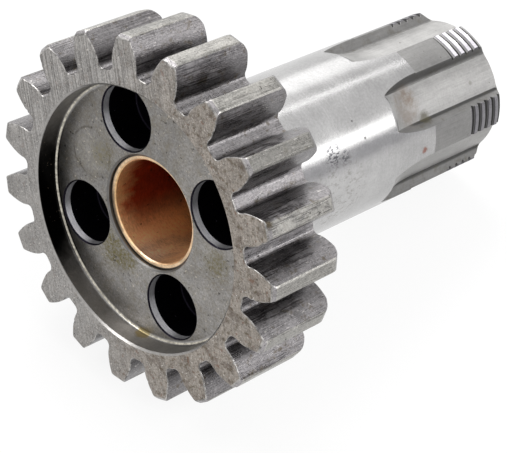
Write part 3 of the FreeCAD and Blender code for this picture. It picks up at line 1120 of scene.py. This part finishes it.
# %% Journal
def ground_look(made):
    """Colour, roughness and lines of ground steel."""
    lines = made.noise((0.12, 0.12, 5.0), 3.0, 0.7, 2.0)
    clouds = made.noise(0.14, 4.0, 0.6, 6.0)
    value = made.blend(made.step(made.height, 36.0, 62.0), 0.47, 0.4)
    value = made.vary(value, (lines, 0.1), (clouds, 0.25), (made.noise(2.2, 3.0, 0.65, 9.0), 0.2))
    rust = made.spot((journal_radius, -13.7, 59.7), 0.3, 0.6, 1.6, 8.0)
    colour = made.stained(made.tint(value, (1.0, 0.99, 0.985)),
                          (made.flecks(1.3, 0.72, 21.0, 4.0), 0.6, (0.08, 0.075, 0.07)),
                          (rust, 0.8, (0.22, 0.07, 0.04)))
    return colour, made.vary(0.22, (clouds, 0.3), (lines, 0.15)), lines


def ground_journal():
    """Ground steel with scuffs, which are flecks kept within a few spots."""
    made = Finish("ground_journal")
    colour, roughness, lines = ground_look(made)
    scuff_area_and_lip_glint = (made.spot((journal_radius, -37.5, 35.3), 1.3, 1.2, 2.0, 3.0)
              | made.spot((journal_radius, -34.0, 38.0), 0.7, 0.9, 1.2, 4.0, 0.8))
    scuffs = scuff_area_and_lip_glint * made.flecks((2.6, 2.6, 1.1), 0.5, 12.0, 5.0)
    low_scuffs = (made.spot((journal_radius, -10.0, 36.0), 5.0, 4.0, 5.0, 5.0)
                  * made.step(made.noise((1.1, 1.1, 0.7), 5.0, 0.75, 17.0), 0.5, 0.62))
    ticks = (made.spot((journal_radius, -40.3, 43.9), 0.1, 0.25, 0.4, 2.0)
             | made.spot((journal_radius, -54.0, 42.3), 0.08, 0.2, 0.3, 2.0))
    colour = made.stained(colour, (low_scuffs, 0.45, (0.2, 0.185, 0.165)),
                          (scuffs, 0.8, (0.06, 0.06, 0.07)), (ticks, 1.0, (0.08, 0.075, 0.07)))
    return made.result(colour, roughness, lines - scuffs, 0.004)


# %% [markdown]
# The splines were milled, so their lines run along them. Their flanks carry painted light and shade, which
# differs from one side of a land to the other and towards the foot. They could be a material of their own,
# with a hard border, but the surface's own direction tells them softly: where it doesn't point away from
# the axis, it is a flank. The lands are dull where they were turned down for the nut's thread. The thread's
# roots carry painted shade, and its crests on the land that faces the camera a painted highlight.

# %% Splines
def milled_splines():
    """Tones for floor, flank, land and thread. The part of the surface's direction that goes round the
    axis tells flanks from the rest, and its sign tells one side of a land from the other, whose flanks
    get different painted light and shade."""
    made = Finish("milled_splines")
    from_face = made.vector("SUBTRACT", made.object_place, tuple(front_centre))
    lengthwise = made.vector("PROJECT", from_face, tuple(along))
    outwards = made.vector("NORMALIZE", made.vector("SUBTRACT", from_face, lengthwise))
    round_axis = made.vector("CROSS_PRODUCT", tuple(along), outwards)
    turned = made.vector("DOT_PRODUCT", made.normal, round_axis, output=1)
    flank = made.step(abs(turned), 0.12, 0.35)
    leading = made.step(turned, -0.1, 0.1)
    low = made.fall(made.radius, spline_root + 0.3, spline_root + 0.75)
    high = made.step(made.radius, land_radius - 0.35, land_radius - 0.2)
    relieved = high * made.step(made.height, relief_start + 0.02, relief_start + 0.1)
    threaded = made.step(made.height, thread_start - 0.05, thread_start + 0.1)
    crest = high * threaded
    # Painted highlight: the thread's crests on the land that faces the camera are much brighter than on the
    # others.
    painted_highlight_land = made.sector(lands[4], 20.0, 30.0)
    first_land = made.sector(lands[3], 20.0, 30.0)
    sunk = land_radius - made.radius
    root = threaded * made.step(sunk, 0.04, 0.14) * made.fall(sunk, 1.2, 1.4) * (1.0 - flank)
    # Painted shade in the thread's roots, lighter near the top on the land with the painted highlight.
    thread_root_shade = made.blend(painted_highlight_land * made.fall(sunk, 0.35, 0.5), 0.05, 0.35)
    # Painted light and shade on the flanks: the leading flank darkens towards its foot, the trailing flank
    # is lighter at its foot, and lighter all over on lands[3].
    flank_light_and_shade = made.blend(leading, made.blend(low, 0.19, 0.07),
                             made.blend(low, made.blend(first_land, 0.11, 0.2), 0.19))
    value = made.blend(relieved, 0.36, 0.25)
    value = made.blend(crest, value, made.blend(painted_highlight_land, 0.22, 1.0))
    value = made.blend(root, value, thread_root_shade)
    value = made.blend(flank, value, flank_light_and_shade)
    lines = made.noise((3.5, 3.5, 0.15), 3.0, 0.65, 2.0)
    clouds = made.noise(0.25, 4.0, 0.65, 6.0)
    value = made.vary(value, (lines, 0.22), (clouds, 0.3), (made.noise(2.4, 3.0, 0.65, 9.0), 0.2))
    stain = (made.spot((spline_root, -54.0, 59.3), 1.0, 2.2, 3.5, 3.0)
             | made.spot((spline_root, -47.0, 58.0), 2.2, 2.4, 4.0, 4.0, 0.7))
    stain = stain * made.blend(made.strong(made.noise(0.9, 4.0, 0.7, 7.0)), 0.35, 1.0)
    # Dirt, and one painted shadow: the spot on the land at turn -95.6 is painted shade where a groove's
    # flank ends.
    dirt_and_painted_shadow = (made.spot((spline_root, -33.0, 62.5), 0.7, 1.2, 2.0, 5.0)
            | made.spot((land_radius, -95.6, 53.6), 0.5, 0.5, 0.8, 8.0)
            | made.spot((spline_root, -44.9, 77.2), 0.2, 0.4, 0.5, 6.0, 0.5)
            | flank * made.step(made.noise(0.5, 4.0, 0.7, 11.0), 0.5, 0.7) * 0.6)
    colour = made.stained(
        made.tint(value, made.mix(crest, (1.0, 0.985, 0.965), (0.97, 0.94, 1.0))),
        (stain, 0.7, (0.2, 0.145, 0.105)), (dirt_and_painted_shadow, 0.7, (0.09, 0.08, 0.05)),
        (made.flecks(1.3, 0.7, 13.0, 3.0), 1.0, (0.12, 0.1, 0.09)))
    roughness = made.vary(made.blend(crest, made.blend(relieved, 0.5, 0.42), 0.2), (clouds, 0.4))
    ground = high * (1.0 - relieved) * (1.0 - flank)
    ground_colour, ground_roughness, round_lines = ground_look(made)
    return made.result(made.mix(ground, colour, ground_colour),
                       made.blend(ground, roughness, ground_roughness),
                       made.blend(ground, lines, round_lines), 0.006)


# %% [markdown]
# The back of the gear and the end of the shaft were turned. The tool leaves fine rings there, which are
# noise that changes with the radius only.

# %% Turned faces
def turned_steel(name, tone, roughness):
    """A plain turned face, whose fine rings follow the radius."""
    made = Finish(name)
    place = made.add("ShaderNodeCombineXYZ", {0: made.radius * 4.0, 1: made.height})
    rings = made.noise(1.0, 2.0, 0.6, 4.0, place)
    clouds = made.noise(0.2, 4.0, 0.65, 8.0)
    value = made.vary(tone, (rings, 0.3), (clouds, 0.35), (made.noise(2.4, 3.0, 0.65, 9.0), 0.35))
    colour = made.stained(made.tint(value, clean_steel),
                          (made.flecks(1.4, 0.66, 5.0, 3.0), 0.7, pit_black))
    return made.result(colour, roughness, rings, 0.015)


# %% [markdown]
# The bushes are bored bronze. The lip has a pale, worn gold, darker round one side and with a painted glint
# on another. The bore goes from orange at its mouth to a deeper orange further in, and to a dark red brown
# on one side away from its mouth; near the mouth it has a painted gold glint. Both bushes share the finish,
# so depth is counted from the nearer mouth.

# %% Bronze
def bored_bronze():
    """Colours that follow the depth in the bore and the turn round it, and a lip told by the radius."""
    made = Finish("bored_bronze")
    depth = made.maths("MINIMUM", abs(made.height - front_bush_start),
                       abs(rear_bush_start + bush_length - made.height))
    clouds = made.noise((0.3, 0.3, 0.12), 4.0, 0.65, 3.0)
    lines = made.strong(made.noise((1.2, 1.2, 4.0), 3.0, 0.65, 7.0))
    uneven = depth + (clouds - 0.5) * 14.0
    deep = made.step(uneven, 4.0, 20.0)
    # Dark red brown on the side round turn 172, away from the mouth.
    red_brown_side = made.sector(172.0, 20.0, 70.0) * made.step(uneven, 0.5, 5.5)
    made.put(made.blend(red_brown_side, 0.7, 1.0), made.shader.inputs["Metallic"])
    olive = made.sector(176.0, 10.0, 55.0, 0.7) * made.fall(uneven, 1.0, 7.0)
    # Painted glint: pale gold near the mouth round turn 86.
    painted_glint = (made.sector(86.0, 8.0, 26.0, 0.6) * made.fall(depth, 1.0, 6.0)
                * made.blend(lines, 0.6, 1.0))
    lip = made.fall(depth, 0.35, 0.5) * made.step(made.radius, bush_radius + 0.15, bush_radius + 0.25)
    joint = made.step(made.radius, bush_radius + 0.62, bush_radius + 0.78)
    # The lip is darker round turn 150, and carries a painted glint round turn 113.
    scuff_area_and_lip_glint = made.sector(150.0, 12.0, 32.0, 0.42, 1.0) * made.sector(113.0, 5.0, 18.0, 1.35, 1.0)
    gold = made.tint(scuff_area_and_lip_glint, (0.72, 0.52, 0.33))
    tone = made.vary(1.0, (made.strong(clouds), 0.15), (lines, 0.12),
                     (made.noise(2.5, 3.0, 0.6, 11.0), 0.3))
    colour = made.stained(
        made.mix(deep, (1.0, 0.65, 0.36), (0.9, 0.49, 0.2)), (olive, 1.0, (0.5, 0.32, 0.14)),
        (red_brown_side, 0.93, (0.34, 0.03, 0.012)), (painted_glint, 1.0, (1.0, 0.84, 0.66)),
        (lip, 1.0, made.mix(joint, gold, (0.1, 0.085, 0.07))))
    colour = made.stained(made.tint(tone, colour),
                          (made.flecks(0.9, 0.68, 13.0, 3.0), 0.7, (0.1, 0.05, 0.03)))
    return made.result(colour, made.vary(0.36, (clouds, 0.4)), lines, 0.008)


# %% [markdown]
# Each sheet of the forging carries the name of its finish, so the material slots follow the list of names.
# The bushes share one bronze. Each piece is then attached to the body it rides on, and the imported node
# that it replaces is hidden.

# %% Finishes on the pieces
steel_finishes = {
    "face": ground_face(), "edge": worn_edge(), "teeth": hobbed_teeth(),
    "back": turned_steel("gear_back", 0.25, 0.4), "recess": recess_floor(), "wall": recess_wall(),
    "hole": hole_steel(), "band": band_painted_highlight(), "bore": bore_steel(), "journal": ground_journal(),
    "spline": milled_splines(), "end": turned_steel("shaft_end", 0.4, 0.32)}
for name in finishes:
    steel.data.materials.append(steel_finishes[name])
bronze = bored_bronze()
for bush in (front_bush, rear_bush):
    bush.data.materials.append(bronze)
print("finishes", [material.name for material in bpy.data.materials if material.use_nodes])

for piece, node, slot in ((steel, "gear_shaft", "steel"), (front_bush, "front_bush", "bronze"),
                          (rear_bush, "rear_bush", "bronze")):
    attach(piece, "root")
    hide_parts(node)

# %% [markdown]
# The part lies on a white sheet. The floor is lit like any floor, so it keeps the shadow, and adds white
# of its own for rays that come from the camera or from a glossy or clear surface. More light would also
# make a white floor, but it would wash out the steel.

# %% Floor
floor_half = 1.5
floor_glow = 0.87
white = (1.0, 1.0, 1.0)


def flat_sheet(name, corners):
    """One face between four corners."""
    mesh = bpy.data.meshes.new(name)
    mesh.from_pydata(corners, [], [(0, 1, 2, 3)])
    return new_object(name, mesh)


def dull_nodes(material, colour):
    """The nodes of a plain dull surface, and its shader."""
    nodes = Nodes(material)
    shader = nodes.tree.nodes["Principled BSDF"]
    nodes.put(colour, shader.inputs["Base Color"])
    nodes.put(0.9, shader.inputs["Roughness"])
    return nodes, shader


floor = flat_sheet("floor", [(x * floor_half, y * floor_half, 0)
                             for x, y in ((-1, -1), (1, -1), (1, 1), (-1, 1))])
paper = bpy.data.materials.new("paper")
nodes, shader = dull_nodes(paper, (0.93, 0.93, 0.93))
surface = nodes.add("ShaderNodeMixShader", {
    0: nodes.sees_background() * floor_glow, 1: Value(nodes, shader.outputs[0]),
    2: nodes.add("ShaderNodeEmission", {"Color": white})})
nodes.put(surface, nodes.tree.nodes["Material Output"].inputs["Surface"])
floor.data.materials.append(paper)
print("floor half width", floor_half, "glow", floor_glow)

# %% [markdown]
# The world lights the part softly from all round. It is white for the camera and for mirrors, and dimmer
# for everything else, so that the soft boxes still shape the part.

# %% World
world_strength = 0.6
world = bpy.data.worlds.new("studio")
bpy.context.scene.world = world
nodes = Nodes(world)
backdrop = nodes.tree.nodes["Background"]
nodes.put(white, backdrop.inputs["Color"])
nodes.put(nodes.add("ShaderNodeMapRange", {"Value": nodes.sees_background(), "To Min": world_strength,
                                           "To Max": 1.0}), backdrop.inputs["Strength"])
print("world strength", world_strength)

# %% [markdown]
# The camera stands where the real one did, found by matching the circles of the gear, the recess and the
# shaft. It could be aimed by eye at the lying part, but given in the shaft's own axes it keeps the same
# view of the part however that lies.

# %% Camera
camera_place = (171.22, -211.25, -208.68)
camera_forward = (-0.457214, 0.605841, 0.651085)
camera_up = (-0.561290, -0.764437, 0.317158)
camera_data = bpy.data.cameras.new("camera")
camera_data.sensor_width = 36.0
camera_data.lens = 143.43
camera = new_object("camera", camera_data)
forward = Vector(np.array(camera_forward) @ shaft_axes)
upward = Vector(np.array(camera_up) @ shaft_axes)
turn = Matrix((forward.cross(upward), upward, -forward)).transposed()
camera.matrix_world = Matrix.Translation(to_row(camera_place).tolist()) @ turn.to_4x4()
bpy.context.scene.camera = camera
bpy.context.scene.view_settings.view_transform = "Standard"
print("camera at", camera.matrix_world.translation)

# %% [markdown]
# Three soft boxes give the part its shape. The bright lines along the ground journal are long soft boxes
# that it mirrors. They could be moved about until the lines lie right, but the mirror rule says at once
# where each has to stand: it turns the view of a point of the journal into the direction in which that
# point is seen to look. They are dim, because a mirror needs little light.

# %% Lamps
part_middle = Vector((0.0, 0.0, 0.03))
mirror_height = 36.0
journal_middle = Vector(to_row(ring(0.0, 0.0, mirror_height)).tolist())
strip_distance = 1.0
strip_length = 0.5


def area_lamp(name, width, length, power):
    """A flat lamp, as wide and long as given."""
    data = bpy.data.lights.new(name, "AREA")
    data.shape = "RECTANGLE"
    data.size = width
    data.size_y = length
    data.energy = power
    return new_object(name, data)


def soft_box(name, place, size, power):
    """A square lamp that faces the part."""
    lamp = area_lamp(name, size, size, power)
    lamp.location = place
    lamp.rotation_euler = (part_middle - Vector(place)).to_track_quat("-Z", "Y").to_euler()


def mirrored(turn):
    """Where a point of the journal is seen to look: d - 2 (d.n) n, for the view d and the normal n."""
    normal = ring(1.0, turn, 0.0)
    view = ring(journal_radius, turn, mirror_height) - np.array(camera_place)
    view = view / np.linalg.norm(view)
    return Vector((view - 2 * (view @ normal) * normal) @ shaft_axes)


def strip_box(name, first_turn, last_turn, brightness):
    """A long lamp that the journal mirrors between two turns. Its power is brightness x pi x area."""
    first, last = mirrored(first_turn), mirrored(last_turn)
    backwards = (first + last).normalized()
    wide = (last - first).normalized()
    width = (last - first).length * strip_distance
    power = brightness * math.pi * width * strip_length
    turn = Matrix((wide, backwards.cross(wide), backwards)).transposed()
    lamp = area_lamp(name, width, strip_length, power)
    lamp.matrix_world = Matrix.Translation(journal_middle + backwards * strip_distance) @ turn.to_4x4()
    print(name, "towards", backwards, "width", width, "power", power)


soft_box("key_box", (-0.5, 0.3, 0.7), 0.4, 5.0)
soft_box("fill_box", (0.6, 0.1, 0.5), 0.5, 3.2)
soft_box("front_box", (-0.62, -0.4, 0.7), 0.3, 2.0)
strip_box("top_strip", -104.0, -88.0, 1.1)
strip_box("thin_strip", -78.5, -77.3, 4.4)
strip_box("wide_strip", -47.2, -39.6, 2.5)

# %% [markdown]
# Under the widest bright line the real journal is darker than anywhere else, because it mirrors something
# dark. The steel could be darkened there, but then it would stay dark from every side. A grey card does it
# as in the real room. Only mirrors see it, so it keeps out of every picture.

# %% Grey card
card_distance = 0.25
card_length = 0.5
card_turns = (-39.0, -22.0)
upper, lower = (mirrored(turn) for turn in card_turns)
sideways = (upper + lower).cross(lower - upper).normalized() * card_length / 2
corners = [journal_middle + edge * card_distance + side * sideways
           for edge, side in ((upper, -1), (lower, -1), (lower, 1), (upper, 1))]
card = flat_sheet("grey_card", corners)
card.visible_camera = False
card.visible_shadow = False
card.visible_diffuse = False
grey = bpy.data.materials.new("grey_card")
dull_nodes(grey, (0.44, 0.44, 0.46))
card.data.materials.append(grey)
print("grey card corners", [tuple(round(value, 3) for value in corner) for corner in corners])
